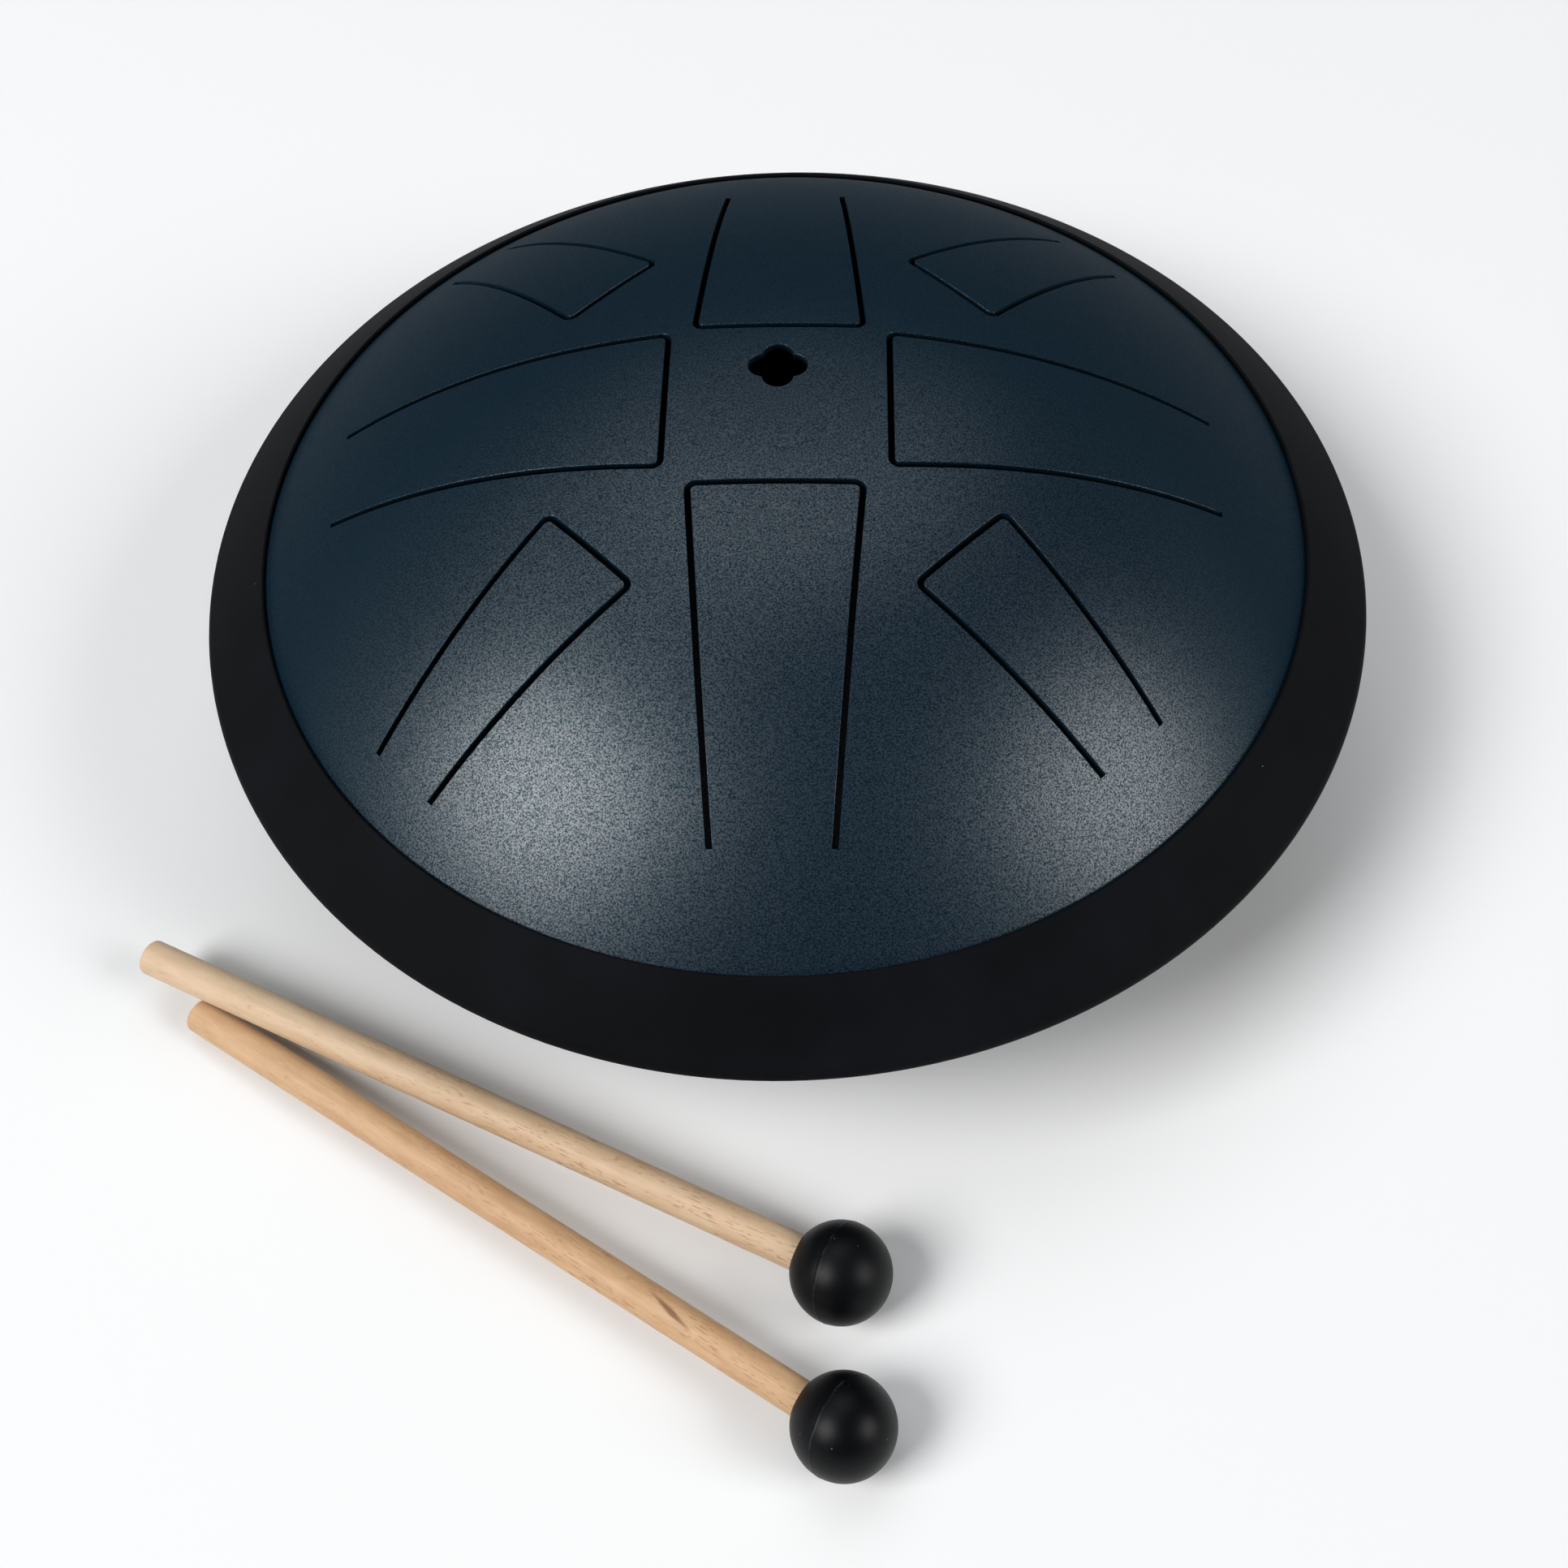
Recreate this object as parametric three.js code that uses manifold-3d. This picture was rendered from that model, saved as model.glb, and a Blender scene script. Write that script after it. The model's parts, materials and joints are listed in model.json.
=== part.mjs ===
// A steel tongue drum: two pressed shells joined at a flange, a rubber rim band, four feet and two mallets.
// Millimetres, +Z up. The origin is the centre of the bottom shell's flat underside, on the drum's axis.
import * as THREE from 'three';
import { mergeVertices } from 'three/addons/utils/BufferGeometryUtils.js';
import Module from 'manifold-3d';

const wasm = await Module();
wasm.setup();

// Shells
const SHEET = 1.6; // thickness of the steel
const DOME_RADIUS = 113; // the dome's edge circle, just under the band's upper lip
const DOME_RISE = 39.1; // crown above that circle
const DOME_POWER = 2.6; // 2 is a parabola, more is flatter on top
const RIM_HEIGHT = 11; // the same circle above the seam
const SKIRT_WIDTH = 5; // from the circle out to the upright skirt
const FLANGE_WIDTH = 4; // from the skirt out to the flange's edge
const BASE_DEPTH = 37; // flat underside below the seam
const BASE_FLAT_RADIUS = 72; // flat part of the underside
const BOND = 0.8; // adhesive between the two flanges

// Tongues: the large ones lie across and along the drum, the small ones between them
const SLOT = 1.25; // width of a slot
const ROOT_GAP = 0.3; // hairline where a tongue bends
const LARGE_TIP_RADIUS = 22.8; // slot across a large tongue's free end, from the drum's axis
const BACK_REACH = 2.7; // the back tongue's free end lies this much nearer to the axis
const LARGE_TAPER = 0.08; // half width lost per mm towards the rim
const FRONT_WEB = 5.5; // from the front tongue's side slots out to the tips of the left and right ones
const SIDE_WEB = 4.6; // from the side slots of the left and right tongues out to the front one's tip
const SMALL_TIP_RADIUS = 50.8;
const SMALL_TIP_WIDTH = 24.6;
const SMALL_TAPER = 0.081;
const TIP_CORNER_RADIUS = 1.8;
// Steel left between each tongue's slot ends and the dome's edge, which sets its length and its note
const LAND_FRONT = 20.3;
const LAND_FRONT_RIGHT = 15.8;
const LAND_RIGHT = 21.8;
const LAND_BACK_RIGHT = 14.6;
const LAND_BACK = 36;
const LAND_BACK_LEFT = 11.3;
const LAND_LEFT = 18.8;
const LAND_FRONT_LEFT = 10.5;

// Sound hole: four round lobes, behind the crown
const SOUND_HOLE_SETBACK = 8.2;
const LOBE_RADIUS = 3.2;
const LOBE_OFFSET = 2.9;

// Rim band and feet
const BAND_WALL = 5; // rubber outside the flange
const BAND_NOSE = 3; // rounding at the widest part
const BAND_DROP = 13; // lower lip below the seam
const LIP_OVERLAP = 1.2; // upper lip over the dome, inside its edge circle
const LIP_WALL = 0.7; // rubber of the upper lip, above the dome
const LIP_EDGE = 0.4; // rounding of both lips
const FOOT_HEIGHT = 6;
const FOOT_RADIUS = 7;
const FOOT_EDGE = 1.8; // rounding of a foot's lower edge
const FOOT_LAND = 5; // flat steel on both sides of a foot

// Mallets
const HEAD_RADIUS = 10.1;
const BUTT_RADIUS = 3.85;
const NECK_RADIUS = 3.65;
const BUTT_EDGE = 1;
const STICK_REACH = 164; // head centre to butt end
const STICK_PLUG = 4; // stick past the head's centre
const MALLET_STANDOFF = 2; // upper stick clear of the band
const UPPER_HEADING = -24.9; // butt to head, degrees from +X
const HEAD_GAP = 6.1; // between the two heads, square to the upper stick
const UPPER_HEAD_ALONG = 75.6; // head past the point nearest the drum
const LOWER_BUTT_ALONG = 14.3; // lower butt from the upper butt, along the upper stick

// Fits and facets
const CLEARANCE = 0.3; // between pieces that are pressed or stretched together
const TURN_STEPS = 64;
const DOME_STEPS = 8;
const BEND_STEPS = 6;
const SMALL_TURN_STEPS = 24;
const CORNER_STEPS = 4;
const LOBE_STEPS = 8;

// Levels and radii that follow
const SEAM_Z = BASE_DEPTH;
const EDGE_Z = SEAM_Z + RIM_HEIGHT;
const SKIRT_RADIUS = DOME_RADIUS + SKIRT_WIDTH;
const FLANGE_RADIUS = SKIRT_RADIUS + FLANGE_WIDTH;
const BAND_RADIUS = FLANGE_RADIUS + BAND_WALL;
const UPPER_FLANGE_Z = SEAM_Z + BOND / 2 + SHEET;
const LOWER_FLANGE_Z = SEAM_Z - BOND / 2 - SHEET;
const FLOOR_Z = -FOOT_HEIGHT;
const FOOT_REACH = BASE_FLAT_RADIUS - FOOT_LAND - FOOT_RADIUS;
const PAD_RADIUS = FOOT_REACH - FOOT_RADIUS - FOOT_LAND; // flat steel inside the feet

const paint = new THREE.MeshStandardMaterial({ color: 0x1f3447, roughness: 0.45, metalness: 0.3 });
const rubber = new THREE.MeshStandardMaterial({ color: 0x15161a, roughness: 0.8, metalness: 0 });
const adhesive = new THREE.MeshStandardMaterial({ color: 0x3a3a3c, roughness: 0.7, metalness: 0 });
const beech = new THREE.MeshStandardMaterial({ color: 0xd8b48a, roughness: 0.6, metalness: 0 });

/** Height of the dome's outer surface at a distance from the axis. */
function domeHeight(radius) {
  return EDGE_Z + DOME_RISE * (1 - (radius / DOME_RADIUS) ** DOME_POWER);
}

/** A closed solid from a geometry: shared corners merged, slivers at a pole dropped. */
function solid(geometry) {
  const plain = geometry.clone();
  plain.deleteAttribute('normal');
  plain.deleteAttribute('uv');
  const merged = mergeVertices(plain);
  const corners = merged.index.array;
  const kept = [];
  for (let i = 0; i < corners.length; i += 3) {
    const [a, b, c] = corners.slice(i, i + 3);
    if (a !== b && b !== c && c !== a) kept.push(a, b, c);
  }
  const vertProperties = new Float32Array(merged.attributes.position.array);
  return new wasm.Manifold(new wasm.Mesh({ numProp: 3, vertProperties, triVerts: new Uint32Array(kept) }));
}

/** A geometry from a solid, with flat facets. */
function geometryOf(body) {
  const { vertProperties, triVerts } = body.getMesh();
  const geometry = new THREE.BufferGeometry();
  geometry.setAttribute('position', new THREE.BufferAttribute(vertProperties, 3));
  geometry.setIndex(new THREE.BufferAttribute(triVerts, 1));
  const facets = geometry.toNonIndexed();
  facets.computeVertexNormals();
  return facets;
}

/** A named sub-part. */
function piece(name, body, material) {
  const mesh = new THREE.Mesh(geometryOf(body), material.clone());
  mesh.name = name;
  return mesh;
}

/** A turned body about +Z from its outline: (radius, height) points that run anticlockwise. */
function turned(outline, steps = TURN_STEPS) {
  return solid(new THREE.LatheGeometry(outline, steps).rotateX(Math.PI / 2));
}

/** Points moved sideways by a distance, to the left of the way they run; one on the axis stays on it. */
function offset(points, distance) {
  const last = points.length - 1;
  const ways = points.slice(1).map((point, i) => point.clone().sub(points[i]).normalize());
  return points.map((point, i) => {
    const after = ways[Math.min(i, last - 1)];
    const before = point.x === 0 ? new THREE.Vector2(after.x, -after.y) : ways[Math.max(i - 1, 0)];
    const along = before.clone().add(after).normalize();
    const reach = distance / along.dot(after);
    return new THREE.Vector2(point.x - along.y * reach, point.y + along.x * reach);
  });
}

/** Points of an elliptical quarter from one angle to another, in degrees. */
function ellipsePoints(centre, reach, from, to, steps) {
  return Array.from({ length: steps + 1 }, (_, i) => {
    const angle = THREE.MathUtils.degToRad(from + ((to - from) * i) / steps);
    return new THREE.Vector2(centre.x + reach.x * Math.cos(angle), centre.y + reach.y * Math.sin(angle));
  });
}

/** The dome's outer outline between two radii. */
function domePoints(from, to, steps) {
  return Array.from({ length: steps + 1 }, (_, i) => {
    const radius = from + ((to - from) * i) / steps;
    return new THREE.Vector2(radius, domeHeight(radius));
  });
}

/** A pressed shell from its outer outline, with the sheet on the given side. */
function pressed(outer, side) {
  const inner = offset(outer, side * SHEET);
  const outline = side < 0 ? [...inner, ...[...outer].reverse()] : [...outer, ...[...inner].reverse()];
  return turned(outline);
}

/** The outer outline of the top shell beyond the dome's edge, to the flange. */
function upperRimPoints() {
  return [
    ...domePoints(DOME_RADIUS, SKIRT_RADIUS, 1),
    new THREE.Vector2(SKIRT_RADIUS, UPPER_FLANGE_Z),
    new THREE.Vector2(FLANGE_RADIUS, UPPER_FLANGE_Z),
  ];
}

/** The outer outline of the bottom shell, from the flat underside to the flange. */
function lowerShellPoints() {
  const centre = new THREE.Vector2(BASE_FLAT_RADIUS, LOWER_FLANGE_Z);
  const reach = new THREE.Vector2(SKIRT_RADIUS - BASE_FLAT_RADIUS, LOWER_FLANGE_Z);
  return [
    new THREE.Vector2(0, 0),
    new THREE.Vector2(PAD_RADIUS, 0),
    ...ellipsePoints(centre, reach, -90, 0, BEND_STEPS),
    new THREE.Vector2(FLANGE_RADIUS, LOWER_FLANGE_Z),
  ];
}

/** The bottom shell's outer radius at a height below its flange. */
function lowerShellRadius(height) {
  const fall = (LOWER_FLANGE_Z - height) / LOWER_FLANGE_Z;
  return BASE_FLAT_RADIUS + (SKIRT_RADIUS - BASE_FLAT_RADIUS) * Math.sqrt(1 - fall ** 2);
}

/** A tongue's plan along +X, grown by a margin, from its tip to its root. */
function tonguePlan({ tip, halfWidth, taper, root }, margin, rootMargin) {
  const near = tip - margin;
  const far = root + rootMargin;
  const half = (radius) => halfWidth - taper * (radius - tip) + margin;
  const corner = TIP_CORNER_RADIUS + margin;
  const plan = new THREE.Shape();
  plan.moveTo(far, -half(far));
  plan.lineTo(far, half(far));
  plan.lineTo(near + corner, half(near + corner));
  plan.quadraticCurveTo(near, half(near), near, half(near) - corner);
  plan.lineTo(near, corner - half(near));
  plan.quadraticCurveTo(near, -half(near), near + corner, -half(near + corner));
  plan.closePath();
  return plan;
}

/** An upright cutter through the dome from a plan, turned about the drum's axis. */
function upright(plan, degrees, curveSegments) {
  const options = { depth: DOME_RISE + RIM_HEIGHT + SHEET, bevelEnabled: false, curveSegments };
  const geometry = new THREE.ExtrudeGeometry(plan, options);
  return solid(geometry.translate(0, 0, SEAM_Z).rotateZ(THREE.MathUtils.degToRad(degrees)));
}

/** The eight tongues, anticlockwise from the front. */
function tongueSizes() {
  const front = { tip: LARGE_TIP_RADIUS, halfWidth: LARGE_TIP_RADIUS - FRONT_WEB, taper: LARGE_TAPER };
  const side = { ...front, halfWidth: LARGE_TIP_RADIUS - SIDE_WEB };
  const back = { ...front, tip: front.tip - BACK_REACH, halfWidth: front.halfWidth + LARGE_TAPER * BACK_REACH };
  const small = { tip: SMALL_TIP_RADIUS, halfWidth: SMALL_TIP_WIDTH / 2, taper: SMALL_TAPER };
  const tongues = [
    ['front', front, LAND_FRONT],
    ['front_right', small, LAND_FRONT_RIGHT],
    ['right', side, LAND_RIGHT],
    ['back_right', small, LAND_BACK_RIGHT],
    ['back', back, LAND_BACK],
    ['back_left', small, LAND_BACK_LEFT],
    ['left', side, LAND_LEFT],
    ['front_left', small, LAND_FRONT_LEFT],
  ];
  return tongues.map(([name, size, land], i) => ({
    ...size,
    name: `tongue_${name}`,
    degrees: -90 + (360 / tongues.length) * i,
    root: DOME_RADIUS - land,
  }));
}

/** The sound hole's cutter: four lobes round its centre. */
function soundHole() {
  const lobes = [0, 90, 180, 270].map((degrees) => {
    const angle = THREE.MathUtils.degToRad(degrees);
    const plan = new THREE.Shape();
    const x = LOBE_OFFSET * Math.cos(angle);
    const y = SOUND_HOLE_SETBACK + LOBE_OFFSET * Math.sin(angle);
    plan.absarc(x, y, LOBE_RADIUS, 0, 2 * Math.PI);
    return upright(plan, 0, LOBE_STEPS);
  });
  return lobes.reduce((hole, lobe) => hole.add(lobe));
}

/** The top shell and the tongues that are cut free in it. */
function topShell() {
  const outer = [...domePoints(0, DOME_RADIUS, DOME_STEPS), ...upperRimPoints().slice(1)];
  const sheet = pressed(outer, -1);
  const tongues = tongueSizes();
  const planCutter = (tongue, margin, rootMargin) =>
    upright(tonguePlan(tongue, margin, rootMargin), tongue.degrees, CORNER_STEPS);
  const cuts = tongues.map((tongue) => planCutter(tongue, SLOT / 2, ROOT_GAP));
  const body = cuts.reduce((shell, cut) => shell.subtract(cut), sheet.subtract(soundHole()));
  const blades = tongues.map((tongue) =>
    piece(tongue.name, sheet.intersect(planCutter(tongue, -SLOT / 2, 0)), paint),
  );
  return [piece('top_shell', body, paint), ...blades];
}

/** The bottom shell, a pan with a flat underside. */
function bottomShell() {
  return piece('bottom_shell', pressed(lowerShellPoints(), 1), paint);
}

/** The adhesive ring between the flanges. */
function rimBond() {
  const low = SEAM_Z - BOND / 2;
  const high = SEAM_Z + BOND / 2;
  const outline = [
    new THREE.Vector2(SKIRT_RADIUS, low),
    new THREE.Vector2(FLANGE_RADIUS, low),
    new THREE.Vector2(FLANGE_RADIUS, high),
    new THREE.Vector2(SKIRT_RADIUS, high),
    new THREE.Vector2(SKIRT_RADIUS, low),
  ];
  return piece('rim_bond', turned(outline), adhesive);
}

/** The outward direction, in degrees, of the band's flat side between its nose and one of its lips. */
function bandSide(nose, lip) {
  const way = lip.clone().sub(nose);
  const lean = Math.acos((BAND_NOSE - LIP_EDGE) / way.length());
  return THREE.MathUtils.radToDeg(Math.atan2(way.y, way.x) - Math.sign(way.y) * lean);
}

/** The rubber band: two flat sides that meet in a round nose, and a channel that grips both flanges. */
function rimBand() {
  const lapped = domePoints(DOME_RADIUS - LIP_OVERLAP, DOME_RADIUS, 1);
  const upper = offset([...lapped, ...upperRimPoints().slice(1)], CLEARANCE);
  const wallTop = LOWER_FLANGE_Z - CLEARANCE;
  const wallPoint = (height) => new THREE.Vector2(lowerShellRadius(height) + CLEARANCE, height);
  const lipInside = wallPoint(SEAM_Z - BAND_DROP + LIP_EDGE);
  const channel = [
    ...upper.slice(0, -1),
    new THREE.Vector2(FLANGE_RADIUS + CLEARANCE, UPPER_FLANGE_Z + CLEARANCE),
    new THREE.Vector2(FLANGE_RADIUS + CLEARANCE, wallTop),
    wallPoint(wallTop),
    wallPoint((wallTop + lipInside.y) / 2),
  ];
  const nose = new THREE.Vector2(BAND_RADIUS - BAND_NOSE, SEAM_Z);
  const upperLip = new THREE.Vector2(upper[0].x + LIP_EDGE, upper[0].y + LIP_WALL - LIP_EDGE);
  const lowerLip = new THREE.Vector2(lipInside.x + LIP_EDGE, lipInside.y);
  const top = bandSide(nose, upperLip);
  const bottom = bandSide(nose, lowerLip);
  const noseReach = new THREE.Vector2(BAND_NOSE, BAND_NOSE);
  const lipReach = new THREE.Vector2(LIP_EDGE, LIP_EDGE);
  const outline = [
    ...ellipsePoints(lowerLip, lipReach, -180, bottom, CORNER_STEPS),
    ...ellipsePoints(nose, noseReach, bottom, top, BEND_STEPS),
    ...ellipsePoints(upperLip, lipReach, top, 180, CORNER_STEPS),
    ...channel,
  ];
  return piece('rim_band', turned([...outline, outline[0]]), rubber);
}

/** Four feet on the flat underside. */
function feet() {
  const outline = [
    new THREE.Vector2(0, FLOOR_Z),
    ...ellipsePoints(
      new THREE.Vector2(FOOT_RADIUS - FOOT_EDGE, FLOOR_Z + FOOT_EDGE),
      new THREE.Vector2(FOOT_EDGE, FOOT_EDGE),
      -90,
      0,
      CORNER_STEPS,
    ),
    new THREE.Vector2(FOOT_RADIUS, 0),
    new THREE.Vector2(0, 0),
  ];
  const places = ['back_right', 'back_left', 'front_left', 'front_right'];
  return places.map((place, i) => {
    const angle = THREE.MathUtils.degToRad(45 + 90 * i);
    const foot = piece(`foot_${place}`, turned(outline, SMALL_TURN_STEPS), rubber);
    foot.position.set(FOOT_REACH * Math.cos(angle), FOOT_REACH * Math.sin(angle), 0);
    return foot;
  });
}

/** A mallet along +Z with its head's centre at the origin. */
function mallet(name) {
  const bore = NECK_RADIUS + CLEARANCE;
  const mouth = THREE.MathUtils.radToDeg(Math.acos(bore / HEAD_RADIUS));
  const centre = new THREE.Vector2(0, 0);
  const ball = new THREE.Vector2(HEAD_RADIUS, HEAD_RADIUS);
  const headOutline = [
    new THREE.Vector2(0, STICK_PLUG + CLEARANCE),
    new THREE.Vector2(bore, STICK_PLUG + CLEARANCE),
    ...ellipsePoints(centre, ball, -mouth, 90, 2 * BEND_STEPS),
  ];
  const stickOutline = [
    new THREE.Vector2(0, -STICK_REACH),
    ...ellipsePoints(
      new THREE.Vector2(BUTT_RADIUS - BUTT_EDGE, BUTT_EDGE - STICK_REACH),
      new THREE.Vector2(BUTT_EDGE, BUTT_EDGE),
      -90,
      0,
      CORNER_STEPS,
    ),
    new THREE.Vector2(NECK_RADIUS, -HEAD_RADIUS),
    new THREE.Vector2(NECK_RADIUS, STICK_PLUG),
    new THREE.Vector2(0, STICK_PLUG),
  ];
  const group = new THREE.Group();
  group.add(piece(`${name}_stick`, turned(stickOutline, SMALL_TURN_STEPS), beech));
  group.add(piece(`${name}_head`, turned(headOutline, SMALL_TURN_STEPS), rubber));
  return group;
}

/** The two mallets on the table: the upper stick lies on the butt of the lower one. */
function mallets() {
  const headingVector = (degrees) => {
    const angle = THREE.MathUtils.degToRad(degrees);
    return new THREE.Vector3(Math.cos(angle), Math.sin(angle), 0);
  };
  const headZ = FLOOR_Z + HEAD_RADIUS;
  const drop = HEAD_RADIUS - BUTT_RADIUS;
  const upperWay = headingVector(UPPER_HEADING);
  const away = headingVector(UPPER_HEADING - 90);
  const nearest = away.clone().multiplyScalar(BAND_RADIUS + MALLET_STANDOFF + BUTT_RADIUS);
  const upperHead = nearest.clone().addScaledVector(upperWay, UPPER_HEAD_ALONG).setZ(headZ);
  const upperButt = upperHead.clone().addScaledVector(upperWay, -STICK_REACH);

  const apart = 2 * BUTT_RADIUS + CLEARANCE;
  const aside = Math.sqrt(Math.max(apart ** 2 - drop ** 2, 0));
  const lowerButt = upperButt.clone().addScaledVector(upperWay, LOWER_BUTT_ALONG);
  lowerButt.addScaledVector(away, aside).setZ(FLOOR_Z + BUTT_RADIUS);
  const level = Math.sqrt(STICK_REACH ** 2 - drop ** 2);
  const spread = Math.asin((2 * HEAD_RADIUS + HEAD_GAP - aside) / level);
  const lowerWay = headingVector(UPPER_HEADING - THREE.MathUtils.radToDeg(spread));
  const lowerHead = lowerButt.clone().addScaledVector(lowerWay, level).setZ(headZ);

  const up = new THREE.Vector3(0, 0, 1);
  const ends = [
    ['mallet_1', upperHead, upperButt],
    ['mallet_2', lowerHead, lowerButt],
  ];
  return ends.map(([name, head, butt]) => {
    const group = mallet(name);
    group.position.copy(head);
    group.quaternion.setFromUnitVectors(up, head.clone().sub(butt).normalize());
    return group;
  });
}

const drum = new THREE.Group();
drum.add(...topShell(), bottomShell(), rimBond(), rimBand(), ...feet());

const tongueDrum = new THREE.Group();
tongueDrum.add(drum, ...mallets());

export default tongueDrum;
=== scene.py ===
"""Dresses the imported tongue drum: painted shells and tongues, rubber band and feet, beech mallets, studio."""

from __future__ import annotations

import json
import logging
import math
from collections.abc import Callable, Iterator, Mapping, Sequence
from contextlib import contextmanager
from dataclasses import dataclass
from enum import Enum

import bmesh
import bpy
from mathutils import Euler, Matrix, Vector

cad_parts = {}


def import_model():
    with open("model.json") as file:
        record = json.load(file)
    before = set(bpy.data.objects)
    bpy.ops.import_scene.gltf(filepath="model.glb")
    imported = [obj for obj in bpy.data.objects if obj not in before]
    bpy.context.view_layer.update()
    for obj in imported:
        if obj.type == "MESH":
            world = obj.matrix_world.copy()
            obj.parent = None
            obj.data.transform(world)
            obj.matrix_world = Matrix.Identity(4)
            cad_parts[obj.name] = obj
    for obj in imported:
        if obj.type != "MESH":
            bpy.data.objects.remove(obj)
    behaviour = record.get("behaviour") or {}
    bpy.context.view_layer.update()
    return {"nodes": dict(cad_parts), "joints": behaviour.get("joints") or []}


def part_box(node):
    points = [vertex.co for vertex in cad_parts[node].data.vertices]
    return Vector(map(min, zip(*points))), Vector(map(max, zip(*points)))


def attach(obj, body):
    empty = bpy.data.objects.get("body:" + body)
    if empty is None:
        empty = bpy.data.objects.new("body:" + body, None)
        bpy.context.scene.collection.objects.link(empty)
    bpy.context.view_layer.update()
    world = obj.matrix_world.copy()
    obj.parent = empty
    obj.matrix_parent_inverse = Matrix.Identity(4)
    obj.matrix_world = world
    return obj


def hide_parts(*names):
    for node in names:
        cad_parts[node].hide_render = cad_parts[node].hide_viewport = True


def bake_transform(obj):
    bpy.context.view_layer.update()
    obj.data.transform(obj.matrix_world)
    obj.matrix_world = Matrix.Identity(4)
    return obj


LOG = logging.getLogger("tongue_drum")

MM = 0.001
TOUCH = 0.01 * MM
UPRIGHT = 0.5
SHEET = 1.6 * MM
DOME_RADIUS = 113 * MM
DOME_EDGE_OVER_SEAM = 11 * MM
SKIRT_MARGIN = 5 * MM
COOL_LIGHT = (0.9, 0.96, 1)

Colour = tuple[float, float, float, float]
Point = tuple[float, float]
Span = tuple[float, float]
Shape = bpy.types.Object
Finish = bpy.types.Material


def display_colour(*levels: int) -> Colour:
    """Turn red, green and blue as a screen shows them, up to 255, into a shader's linear colour."""
    shares = [level / 255 for level in levels]
    return (*(s / 12.92 if s <= 0.04045 else ((s + 0.055) / 1.055) ** 2.4 for s in shares), 1.0)


def arc(centre: Point, reach: Point, start: float, end: float, steps: int) -> list[Point]:
    """List points along an arc of an ellipse with given half widths, between angles in degrees."""
    angles = [math.radians(start + (end - start) * step / steps) for step in range(steps + 1)]
    return [(centre[0] + reach[0] * math.cos(a), centre[1] + reach[1] * math.sin(a)) for a in angles]


class Element(Enum):
    """What a selection in edit mode is made of."""

    VERT = "VERT"
    EDGE = "EDGE"
    FACE = "FACE"


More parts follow.
